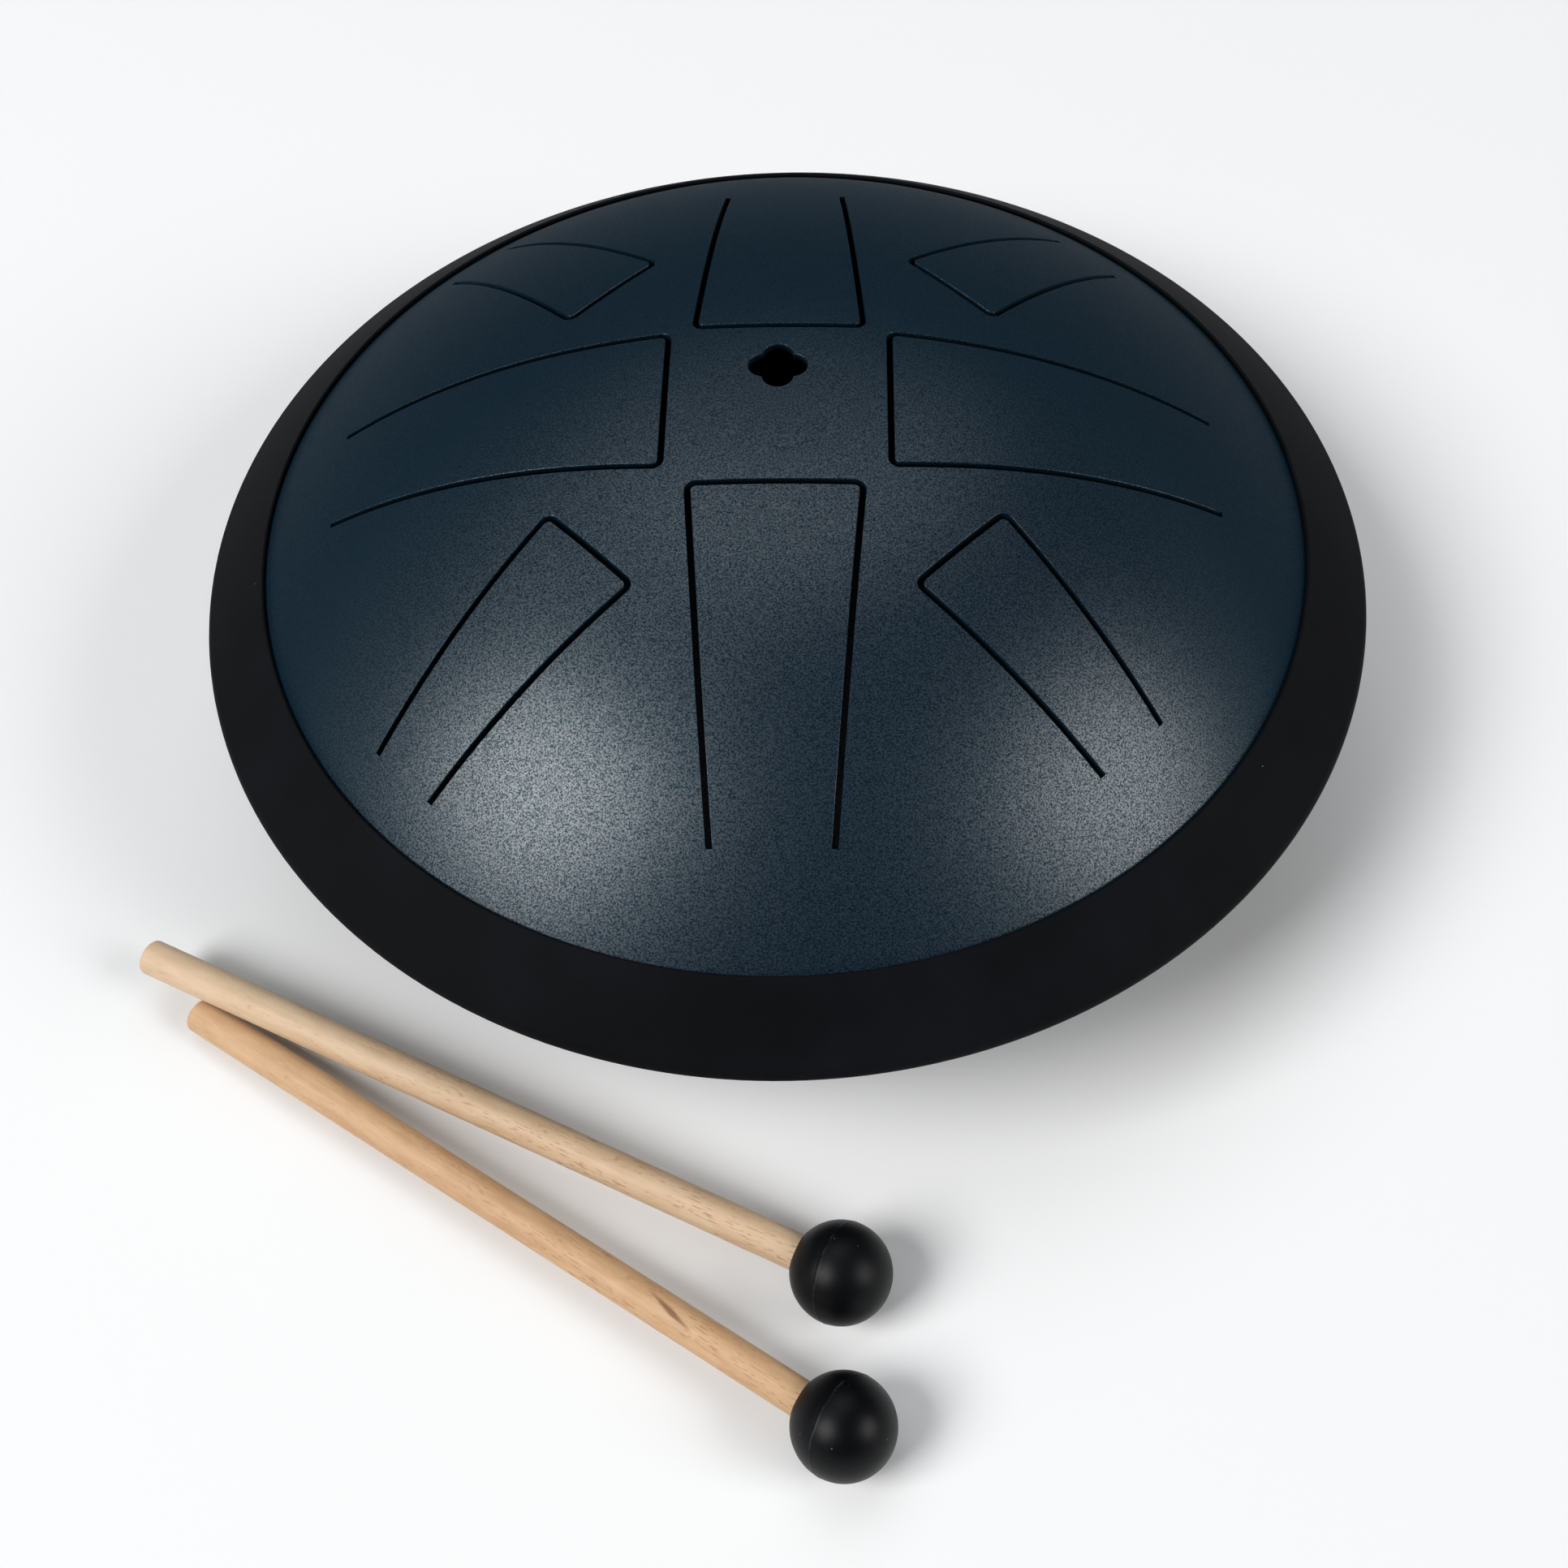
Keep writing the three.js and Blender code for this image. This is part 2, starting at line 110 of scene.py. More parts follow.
class Workpiece:
    """One mesh on the bench, shaped with Blender's own edit tools."""

    def __init__(self, name: str, primitive: Callable[..., object], **sizes: object) -> None:
        """Start from a primitive, with its place in its mesh.

        Args:
            name: Name for the object and its mesh.
            primitive: Blender's operator that adds it.
            **sizes: The operator's values.
        """
        bpy.ops.object.select_all(action="DESELECT")
        primitive(**sizes)
        bpy.ops.object.transform_apply(location=True)
        self.shape: Shape = bpy.context.active_object
        self.shape.name = name
        self.shape.data.name = name

    def _take_up(self) -> None:
        """Select this piece alone and make it the active one."""
        bpy.ops.object.select_all(action="DESELECT")
        self.shape.select_set(True)
        bpy.context.view_layer.objects.active = self.shape

    @classmethod
    def turned(cls, name: str, outline: Sequence[Point], sides: int) -> Workpiece:
        """Extrude one corner from point to point in the XZ plane and spin the line round the Z axis.

        Args:
            name: Name for the piece.
            outline: Points as distance from the Z axis and height.
            sides: Number of steps round the axis.

        Returns:
            The closed skin, which faces outwards.
        """
        piece = cls(name, bpy.ops.mesh.primitive_plane_add, size=1)
        with piece.editing():
            bpy.ops.mesh.merge(type="CENTER")
            bpy.ops.transform.translate(value=(outline[0][0], 0, outline[0][1]))
            for before, after in zip(outline, outline[1:]):
                step = (after[0] - before[0], 0, after[1] - before[1])
                bpy.ops.mesh.extrude_region_move(TRANSFORM_OT_translate={"value": step})
            bpy.ops.mesh.select_all(action="SELECT")
            bpy.ops.mesh.spin(steps=sides, angle=math.tau, center=(0, 0, 0), axis=(0, 0, 1))
            bpy.ops.mesh.select_all(action="SELECT")
            bpy.ops.mesh.remove_doubles(threshold=TOUCH / 2)
            bpy.ops.mesh.normals_make_consistent(inside=False)
        return piece

    @contextmanager
    def editing(self) -> Iterator[None]:
        """Open this piece alone in edit mode, with all of it selected.

        Yields:
            Nothing: the operators act on the open mesh.
        """
        self._take_up()
        bpy.ops.object.mode_set(mode="EDIT")
        bpy.ops.mesh.select_mode(type=Element.VERT.value)
        bpy.ops.mesh.select_all(action="SELECT")
        yield
        bpy.ops.object.mode_set(mode="OBJECT")

    def pick(self, element: Element, wanted: Callable[..., bool]) -> None:
        """Select the parts of the open mesh that pass a test, and nothing else.

        Args:
            element: Corners, edges or faces.
            wanted: Test of one corner, edge or face.
        """
        bpy.ops.mesh.select_mode(type=element.value)
        bpy.ops.mesh.select_all(action="DESELECT")
        mesh = bmesh.from_edit_mesh(self.shape.data)
        choices = {Element.VERT: mesh.verts, Element.EDGE: mesh.edges, Element.FACE: mesh.faces}
        for item in filter(wanted, choices[element]):
            item.select_set(True)
        mesh.select_flush_mode()
        bmesh.update_edit_mesh(self.shape.data)

    def apply(self, kind: str, **settings: object) -> None:
        """Add a modifier with its settings and apply it.

        Args:
            kind: The modifier's type.
            **settings: Its properties.
        """
        self._take_up()
        bpy.ops.object.modifier_add(type=kind)
        modifier = self.shape.modifiers[-1]
        for setting, value in settings.items():
            setattr(modifier, setting, value)
        bpy.ops.object.modifier_apply(modifier=modifier.name)

    def cut(self, tool: Workpiece) -> None:
        """Cut another piece's volume out of this one and throw that piece away."""
        self.apply("BOOLEAN", operation="DIFFERENCE", solver="EXACT", object=tool.shape)
        bpy.data.objects.remove(tool.shape)

    def place(self, matrix: Matrix) -> None:
        """Move and turn the piece, with its new place in its mesh.

        Args:
            matrix: The move and turn.
        """
        self._take_up()
        self.shape.matrix_world = matrix
        bpy.ops.object.transform_apply(location=True, rotation=True, scale=True)

    def smooth(self, crease: float = 40) -> None:
        """Shade the piece smooth, apart from edges sharper than an angle in degrees."""
        self._take_up()
        bpy.ops.object.shade_smooth_by_angle(angle=math.radians(crease))

    def grid(self, step: float) -> None:
        """Cut the visible part of the open mesh along a square grid that is the same on every piece.

        Args:
            step: Distance between the grid's lines, which pass half a step beside the axis.
        """
        reach = [max(abs(corner[axis]) for corner in self.shape.bound_box) for axis in (0, 1)]
        for axis, way in enumerate((Vector((1, 0, 0)), Vector((0, 1, 0)))):
            lines = math.ceil(reach[axis] / step)
            for line in range(-lines, lines):
                bpy.ops.mesh.select_all(action="SELECT")
                bpy.ops.mesh.bisect(plane_co=way * (line + 0.5) * step, plane_no=way)


@dataclass(frozen=True)
class Dome:
    """The form for the slotted sheet, and how the sheet is made ready for it."""

    edge_radius: float
    edge_height: float
    rise: float
    power: float = 2.6
    ease: float = 0.12 * MM
    ease_steps: int = 2
    step: float = 2.5 * MM

    def height(self, radius: float) -> float:
        """Height of the outer surface at a distance from the axis."""
        return self.edge_height + self.rise * (1 - (radius / self.edge_radius) ** self.power)

    def slope(self, radius: float) -> float:
        """Fall of the outer surface per metre at a distance from the axis."""
        return self.rise * self.power / self.edge_radius * (radius / self.edge_radius) ** (self.power - 1)

    def ease_slots(self, piece: Workpiece, plans: Sequence[TonguePlan]) -> None:
        """Round the upper edges of the slots and holes, but not the lines where tongues bend.

        Args:
            piece: The flat sheet, open in edit mode.
            plans: Tongues whose root lines stay sharp.
        """

        def wanted(edge: bmesh.types.BMEdge) -> bool:
            """Find the upper edges of the slots and holes.

            Args:
                edge: An edge of the sheet.

            Returns:
                Whether it is eased.
            """
            middle = (edge.verts[0].co + edge.verts[1].co) / 2
            on_top = all(abs(corner.co.z) < TOUCH for corner in edge.verts)
            uprights = sum(abs(face.normal.z) < UPRIGHT for face in edge.link_faces)
            at_root = any(plan.at_root(middle) for plan in plans)
            return on_top and uprights == 1 and middle.length < self.edge_radius and not at_root

        piece.pick(Element.EDGE, wanted)
        bpy.ops.mesh.bevel(offset=self.ease, segments=self.ease_steps, affect="EDGES")

    def press(self, piece: Workpiece) -> None:
        """Form a flat sheet over the dome, with its full thickness square to the slope.

        Args:
            piece: A sheet whose upper face lies at height zero.
        """
        for corner in piece.shape.data.vertices:
            radius = math.hypot(corner.co.x, corner.co.y)
            corner.co.z = self.height(radius) + corner.co.z * math.hypot(1, self.slope(radius))

    def true_normals(self, piece: Workpiece) -> None:
        """Give the outer surface the dome's own normals, so that its shading hides the facets.

        Args:
            piece: A pressed sheet, already shaded smooth.
        """
        normals = []
        for corner in piece.shape.data.vertices:
            radius = math.hypot(corner.co.x, corner.co.y)
            normal = Vector((0, 0, 0))
            if radius < self.edge_radius and abs(corner.co.z - self.height(radius)) < TOUCH:
                lean = self.slope(radius) / max(radius, TOUCH)
                normal = Vector((corner.co.x * lean, corner.co.y * lean, 1)).normalized()
            normals.append(normal)
        piece.shape.data.normals_split_custom_set_from_vertices(normals)


class TongueSize(Enum):
    """The sizes of tongue."""

    FRONT = (22.8 * MM, 17.3 * MM, 0.08)
    BACK = (20.1 * MM, 17.516 * MM, 0.08)
    SIDE = (22.8 * MM, 18.2 * MM, 0.08)
    SMALL = (50.8 * MM, 12.3 * MM, 0.081)

    def __init__(self, tip: float, half_width: float, taper: float) -> None:
        """Name the three sizes.

        Args:
            tip: Distance of the tip's slot from the drum's axis.
            half_width: Half the distance between the side slots at the tip.
            taper: Half width lost per metre towards the rim.
        """
        self.tip = tip
        self.half_width = half_width
        self.taper = taper

    @classmethod
    def of(cls, node: str) -> TongueSize:
        """Size of the tongue that a node is named for."""
        large = {"front": cls.FRONT, "back": cls.BACK, "left": cls.SIDE, "right": cls.SIDE}
        return large.get(node.removeprefix("tongue_"), cls.SMALL)


@dataclass(frozen=True)
class TonguePlan:
    """One tongue as it is cut in the flat sheet."""

    node: str
    angle: float
    root: float
    root_height: float
    size: TongueSize
    slot: float = 1.25 * MM
    corner: float = 1.8 * MM
    corner_steps: int = 8

    @classmethod
    def from_joint(cls, joint: Mapping[str, object]) -> TonguePlan:
        """Read a tongue's place from the hinge at its root."""
        x, y, z = joint["pos_m"]
        return cls(joint["child"], math.atan2(y, x), math.hypot(x, y), z, TongueSize.of(joint["child"]))

    @property
    def outward(self) -> Vector:
        """Level direction from the axis along the tongue."""
        return Vector((math.cos(self.angle), math.sin(self.angle), 0))

    def half(self, radius: float) -> float:
        """Half the distance between the side slots' centre lines at a distance from the axis."""
        return self.size.half_width - self.size.taper * (radius - self.size.tip)

    def at_root(self, place: Vector) -> bool:
        """Whether a place lies on the line where the tongue bends."""
        return abs(place.dot(self.outward) - self.root) < TOUCH

    def flat(self, name: str, margin: float) -> Workpiece:
        """Lay out the tongue's plan as one flat face with round corners at its tip.

        Args:
            name: Name for the piece.
            margin: How far outside the slot's centre line the edge lies.

        Returns:
            The face at height zero, in its place round the axis.
        """
        near = self.size.tip - margin
        middle = (near + self.root) / 2
        piece = Workpiece(name, bpy.ops.mesh.primitive_plane_add, size=1)
        with piece.editing():
            bpy.ops.transform.resize(value=(self.root - near, 1, 1), center_override=(0, 0, 0))
            bpy.ops.transform.translate(value=(middle, 0, 0))
            for end, test in ((self.root, lambda v: v.co.x > middle), (near, lambda v: v.co.x < middle)):
                piece.pick(Element.VERT, test)
                width = 2 * (self.half(end) + margin)
                bpy.ops.transform.resize(value=(1, width, 1), center_override=(end, 0, 0))
            bpy.ops.mesh.bevel(offset=self.corner + margin, segments=self.corner_steps, affect="VERTICES")
        piece.place(Matrix.Rotation(self.angle, 4, "Z"))
        return piece

    def window_cutter(self) -> Workpiece:
        """Make the block that cuts the tongue and its slot out of the sheet.

        Returns:
            The block, which passes through the flat sheet.
        """
        depth = 2 * SHEET
        piece = self.flat(f"{self.node}_window", self.slot / 2)
        with piece.editing():
            bpy.ops.transform.translate(value=(0, 0, -depth))
            bpy.ops.mesh.extrude_region_move(TRANSFORM_OT_translate={"value": (0, 0, 2 * depth)})
            bpy.ops.mesh.select_all(action="SELECT")
            bpy.ops.mesh.normals_make_consistent(inside=False)
        return piece


class DrumPart:
    """A part that is fixed to the drum, in one finish."""

    node: str
    slot: str

    def dress(self, shape: Shape, finish: Finish) -> None:
        """Give the part its finish and fix it to the drum.

        Args:
            shape: The part as built.
            finish: Its material.
        """
        shape.data.materials.append(finish)
        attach(shape, "drum")
        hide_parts(self.node)


@dataclass
class TopShell(DrumPart):
    """The pressed steel dome with windows, a sound hole, a skirt and a flange."""

    dome: Dome
    plans: Sequence[TonguePlan]
    skirt_radius: float
    flange_radius: float
    flange_height: float
    hole_setback: float = 8.2 * MM
    lobe_radius: float = 3.2 * MM
    lobe_offset: float = 2.9 * MM
    lobes: int = 4
    lobe_sides: int = 48
    rim_margin: float = 0.5 * MM
    round_sides: int = 256
    node: str = "top_shell"
    slot: str = "shell_paint"

    def build(self) -> Shape:
        """Cut the flat sheet, press it over the dome and draw down its rim.

        Returns:
            The finished shell.
        """
        rim_step = self.dome.edge_radius + self.rim_margin
        piece = Workpiece(
            "top_shell_painted", bpy.ops.mesh.primitive_circle_add,
            vertices=self.round_sides, radius=self.skirt_radius, fill_type="NGON",
        )
        with piece.editing():
            bpy.ops.mesh.inset(thickness=SHEET)
            bpy.ops.mesh.inset(thickness=self.skirt_radius - SHEET - rim_step)
        piece.apply("SOLIDIFY", thickness=SHEET, offset=-1)
        for plan in self.plans:
            piece.cut(plan.window_cutter())
        self._cut_sound_hole(piece)
        with piece.editing():
            self.dome.ease_slots(piece, self.plans)
            outside = rim_step - self.rim_margin / 2
            piece.pick(Element.FACE, lambda face: face.calc_center_median().xy.length > outside)
            bpy.ops.mesh.hide(unselected=False)
            piece.grid(self.dome.step)
            bpy.ops.mesh.reveal(select=False)
        self.dome.press(piece)
        self._draw_rim(piece)
        piece.smooth()
        self.dome.true_normals(piece)
        return piece.shape

    def _cut_sound_hole(self, piece: Workpiece) -> None:
        """Cut round lobes that meet in one hole behind the crown.

        Args:
            piece: The flat sheet.
        """
        for turn in range(self.lobes):
            angle = turn * math.tau / self.lobes
            lobe = Vector((math.cos(angle), math.sin(angle), 0)) * self.lobe_offset
            piece.cut(Workpiece(
                "sound_hole_lobe", bpy.ops.mesh.primitive_cylinder_add,
                vertices=self.lobe_sides, radius=self.lobe_radius, depth=4 * SHEET,
                location=Vector((0, self.hole_setback, 0)) + lobe,
            ))

    def _draw_rim(self, piece: Workpiece) -> None:
        """Draw the sheet's edge down into an upright skirt and out into a flange.

        Args:
            piece: The pressed sheet.
        """
        inner = self.skirt_radius - 1.5 * SHEET
        flange_low = self.flange_height - SHEET
        middle = (self.flange_height + flange_low) / 2

        def under_rim(face: bmesh.types.BMFace) -> bool:
            """Whether a face is the sheet's underside at its edge."""
            return face.normal.z < -UPRIGHT and face.calc_center_median().xy.length > inner

        def flange_edge(face: bmesh.types.BMFace) -> bool:
            """Find the outside of the skirt's lowest part.

            Args:
                face: A face of the sheet.

            Returns:
                Whether it is drawn out.
            """
            centre = face.calc_center_median()
            outside = centre.xy.length > self.skirt_radius - SHEET / 2
            in_level = abs(centre.z - middle) < SHEET / 4
            return outside and in_level and abs(face.normal.z) < UPRIGHT

        with piece.editing():
            for level in (self.flange_height, flange_low):
                piece.pick(Element.FACE, under_rim)
                bpy.ops.mesh.extrude_region_move(TRANSFORM_OT_translate={"value": (0, 0, -MM)})
                bpy.ops.transform.resize(value=(1, 1, 0), center_override=(0, 0, level))
            piece.pick(Element.FACE, flange_edge)
            bpy.ops.mesh.extrude_region_move(TRANSFORM_OT_translate={"value": (0, 0, 0)})
            widen = self.flange_radius / self.skirt_radius
            bpy.ops.transform.resize(value=(widen, widen, 1), center_override=(0, 0, middle))


@dataclass
class Tongue:
    """One tongue, which bends at its root."""

    dome: Dome
    plan: TonguePlan

    def build(self) -> Shape:
        """Cut the blade flat and press it over the same dome as the shell.

        Returns:
            The finished blade.
        """
        piece = self.plan.flat(f"{self.plan.node}_painted", -self.plan.slot / 2)
        piece.apply("SOLIDIFY", thickness=SHEET, offset=-1)
        with piece.editing():
            self.dome.ease_slots(piece, [self.plan])
            piece.grid(self.dome.step)
        self.dome.press(piece)
        piece.smooth()
        self.dome.true_normals(piece)
        return piece.shape

    def dress(self, blade: Shape, paint: Finish) -> None:
        """Paint the blade, keep its place in its mesh and hide the frame's tongue.

        Args:
            blade: The built blade.
            paint: Its finish.
        """
        blade.data.materials.append(paint)
        root = self.plan.outward * self.plan.root
        tip = self.plan.outward * self.plan.size.tip
        root.z = tip.z = self.plan.root_height
        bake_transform(blade)
        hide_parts(self.plan.node)


@dataclass
class BottomShell(DrumPart):
    """The pan under the seam, with a flat underside."""

    skirt_radius: float
    flange_radius: float
    flange_height: float
    flat_radius: float = 72 * MM
    bend_steps: int = 32
    round_sides: int = 192
    node: str = "bottom_shell"
    slot: str = "shell_paint"

    def radius_at(self, height: float) -> float:
        """Outer radius at a height under the flange."""
        fall = 1 - height / self.flange_height
        return self.flat_radius + (self.skirt_radius - self.flat_radius) * math.sqrt(1 - fall**2)

    def build(self) -> Shape:
        """Spin the pan's outer line and give it the sheet's thickness.

        Returns:
            The finished pan.
        """
        reach = (self.skirt_radius - self.flat_radius, self.flange_height)
        bend = arc((self.flat_radius, self.flange_height), reach, -90, 0, self.bend_steps)
        outline = [(0, 0), (self.flat_radius / 2, 0), *bend, (self.flange_radius, self.flange_height)]
        piece = Workpiece.turned("bottom_shell_painted", outline, self.round_sides)
        piece.apply("SOLIDIFY", thickness=SHEET, offset=-1, use_even_offset=True)
        piece.smooth()
        return piece.shape


@dataclass
class RimBand(DrumPart):
    """The rubber band that grips both flanges and covers the seam."""

    dome: Dome
    pan: BottomShell
    upper_flange: float
    seam: float
    radius: float
    nose: float = 3 * MM
    drop: float = 13 * MM
    overlap: float = 1.2 * MM
    wall: float = 0.7 * MM
    lip: float = 0.4 * MM
    gap: float = 0.3 * MM
    nose_steps: int = 20
    lip_steps: int = 10
    wall_steps: int = 4
    round_sides: int = 256
    crease: float = 35
    node: str = "rim_band"
    slot: str = "band_rubber"

    def _side(self, nose: Point, lip: Point) -> float:
        """Turn a flat side so that it touches the round nose and a round lip.

        Args:
            nose: Centre of the nose.
            lip: Centre of the lip.

        Returns:
            The side's outward direction in degrees.
        """
        way = Vector((lip[0] - nose[0], lip[1] - nose[1]))
        lean = math.acos((self.nose - self.lip) / way.length)
        return math.degrees(math.atan2(way.y, way.x) - math.copysign(lean, way.y))

    def _over_dome(self, radius: float) -> Point:
        """Point a gap away from the dome, square to its surface at a distance from the axis."""
        reach = self.gap / math.hypot(1, self.dome.slope(radius))
        return (radius + self.dome.slope(radius) * reach, self.dome.height(radius) + reach)

    def _channel(self, lip_height: float) -> list[Point]:
        """List the inside, from the upper lip round both flanges to the lower lip.

        Args:
            lip_height: Height of the lower lip's inner edge.

        Returns:
            The points, a gap away from the steel.
        """
        edge = self.dome.edge_radius
        skirt = self.pan.skirt_radius + self.gap
        flange = self.pan.flange_radius + self.gap
        top = self.upper_flange + self.gap
        bottom = self.pan.flange_height - self.gap
        heights = [bottom + (lip_height - bottom) * step / self.wall_steps for step in range(self.wall_steps)]
        return [
            self._over_dome(edge - self.overlap),
            self._over_dome(edge),
            (skirt, self.dome.height(skirt) + self.gap),
            (skirt, top),
            (flange, top),
            (flange, bottom),
            *((self.pan.radius_at(height) + self.gap, height) for height in heights),
        ]

    def build(self) -> Shape:
        """Spin the band's section: two flat sides that meet in a round nose, and a channel.

        Returns:
            The finished band.
        """
        nose = (self.radius - self.nose, self.seam)
        inside, under = self._over_dome(self.dome.edge_radius - self.overlap)
        upper = (inside + self.lip, under + self.wall - self.lip)
        lip_height = self.seam - self.drop + self.lip
        lower = (self.pan.radius_at(lip_height) + self.gap + self.lip, lip_height)
        top = self._side(nose, upper)
        bottom = self._side(nose, lower)
        outline = [
            *arc(lower, (self.lip, self.lip), -180, bottom, self.lip_steps),
            *arc(nose, (self.nose, self.nose), bottom, top, self.nose_steps),
            *arc(upper, (self.lip, self.lip), top, 180, self.lip_steps),
            *self._channel(lip_height),
        ]
        piece = Workpiece.turned("rim_band_rubber", [*outline, outline[0]], self.round_sides)
        piece.smooth(self.crease)
        return piece.shape


@dataclass
class Foot(DrumPart):
    """One round rubber foot under the bottom shell."""

    node: str
    edge: float = 1.8 * MM
    edge_steps: int = 10
    round_sides: int = 64
    slot: str = "foot_rubber"

    def build(self) -> Shape:
        """Spin the foot's outline and set it where the frame has it.

        Returns:
            The finished foot.
        """
        low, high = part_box(self.node)
        radius = (high.x - low.x) / 2
        corner = (radius - self.edge, low.z + self.edge)
        rounding = arc(corner, (self.edge, self.edge), -90, 0, self.edge_steps)
        outline = [(0, low.z), *rounding, (radius, high.z), (0, high.z)]
        piece = Workpiece.turned(f"{self.node}_rubber", outline, self.round_sides)
        piece.place(Matrix.Translation(((low.x + high.x) / 2, (low.y + high.y) / 2, 0)))
        piece.smooth()
        return piece.shape


@dataclass
class Mallet:
    """A round beech stick with a moulded rubber ball."""

    name: str
    heading: float
    pitch: float
    reach: float = 164 * MM
    butt_radius: float = 3.85 * MM
    neck_radius: float = 3.65 * MM
    butt_edge: float = 1 * MM
    butt_steps: int = 8
    plug: float = 4 * MM
    gap: float = 0.3 * MM
    bead: float = 0.06 * MM
    bead_width: float = 0.35 * MM
    mould_tilt: float = 19
    stick_sides: int = 64
    ball_segments: int = 128

    @property
    def head_centre(self) -> Vector:
        """Centre of the ball, from the frame."""
        low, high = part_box(f"{self.name}_head")
        return (low + high) / 2

    @property
    def head_radius(self) -> float:
        """Radius of the ball, from the frame."""
        low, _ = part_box(f"{self.name}_head")
        return self.head_centre.z - low.z

    @property
    def turn(self) -> Euler:
        """Turn of a stick along +X to its place on the table."""
        return Euler((0, -math.radians(self.pitch), math.radians(self.heading)))

    @property
    def mould_turn(self) -> Euler:
        """Turn of the ball's mould, whose halves part across its own Z axis."""
        upright = Matrix.Rotation(math.radians(90 - self.mould_tilt), 3, "Y")
        return (self.turn.to_matrix() @ upright).to_euler()

    def _settle(self, piece: Workpiece) -> None:
        """Lay a piece that was made along +Z, with the ball's centre at the origin, in its place."""
        along = Matrix.Rotation(math.pi / 2, 4, "Y")
        piece.place(Matrix.Translation(self.head_centre) @ self.turn.to_matrix().to_4x4() @ along)

    def build_stick(self) -> Shape:
        """Spin the stick's outline from its rounded butt to the end inside the ball.

        Returns:
            The finished stick.
        """
        corner = (self.butt_radius - self.butt_edge, self.butt_edge - self.reach)
        rounding = arc(corner, (self.butt_edge, self.butt_edge), -90, 0, self.butt_steps)
        neck = [(self.neck_radius, -self.head_radius), (self.neck_radius, self.plug), (0, self.plug)]
        outline = [(0, -self.reach), *rounding, *neck]
        piece = Workpiece.turned(f"{self.name}_stick_beech", outline, self.stick_sides)
        self._settle(piece)
        piece.smooth()
        return piece.shape

    def build_head(self) -> Shape:
        """Raise the mould's parting bead on a ball and bore it for the stick.

        Returns:
            The finished ball.
        """
        piece = Workpiece(
            f"{self.name}_head_rubber", bpy.ops.mesh.primitive_uv_sphere_add,
            segments=self.ball_segments, ring_count=self.ball_segments // 2, radius=self.head_radius,
        )
        with piece.editing():
            piece.pick(Element.EDGE, lambda edge: all(abs(corner.co.z) < TOUCH for corner in edge.verts))
            bpy.ops.mesh.bevel(offset=self.bead_width / 2, segments=2, affect="EDGES")
            piece.pick(Element.VERT, lambda corner: abs(corner.co.z) < TOUCH)
            grow = 1 + self.bead / self.head_radius
            bpy.ops.transform.resize(value=(grow, grow, 1), center_override=(0, 0, 0))
        piece.place(Matrix.Rotation(-math.radians(self.mould_tilt), 4, "Y"))
        depth = 2 * self.head_radius
        piece.cut(Workpiece(
            "bore", bpy.ops.mesh.primitive_cylinder_add,
            vertices=self.stick_sides, radius=self.neck_radius + self.gap / 2, depth=depth,
            location=(0, 0, self.plug + self.gap - depth / 2),
        ))
        self._settle(piece)
        piece.smooth()
        return piece.shape

    def dress(self, stick: Shape, head: Shape, beech: Finish, rubber: Finish) -> None:
        """Give both pieces their finish and let them move with the mallet.

        Args:
            stick: The stick.
            head: The ball.
            beech: The stick's wood.
            rubber: The ball's rubber.
        """
        parts = ((stick, beech, "stick", "stick_wood"), (head, rubber, "head", "head_rubber"))
        for shape, finish, part, slot in parts:
            shape.data.materials.append(finish)
            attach(shape, self.name)
            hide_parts(f"{self.name}_{part}")


@dataclass(frozen=True)
class Signal:
    """A value on its way through a material, which takes part in Python arithmetic."""

    board: Board
    socket: bpy.types.NodeSocket

    def __add__(self, other: Signal | float) -> Signal:
        """Sum."""
        return self.board.math("ADD", self, other)

    def __sub__(self, other: Signal | float) -> Signal:
        """Difference."""
        return self.board.math("SUBTRACT", self, other)

    def __rsub__(self, other: float) -> Signal:
        """Difference with a number first."""
        return self.board.math("SUBTRACT", other, self)

    def __mul__(self, other: Signal | float) -> Signal:
        """Product."""
        return self.board.math("MULTIPLY", self, other)

    __radd__ = __add__
    __rmul__ = __mul__

    def swing(self) -> Signal:
        """Difference from a half, the middle of a noise."""
        return self - 0.5

    def rise(self, low: float, high: float) -> Signal:
        """Smooth step from zero at the low value to one at the high value."""
        limits = {"Value": self, "From Min": low, "From Max": high}
        return self.board.node("ShaderNodeMapRange", limits, interpolation_type="SMOOTHSTEP")


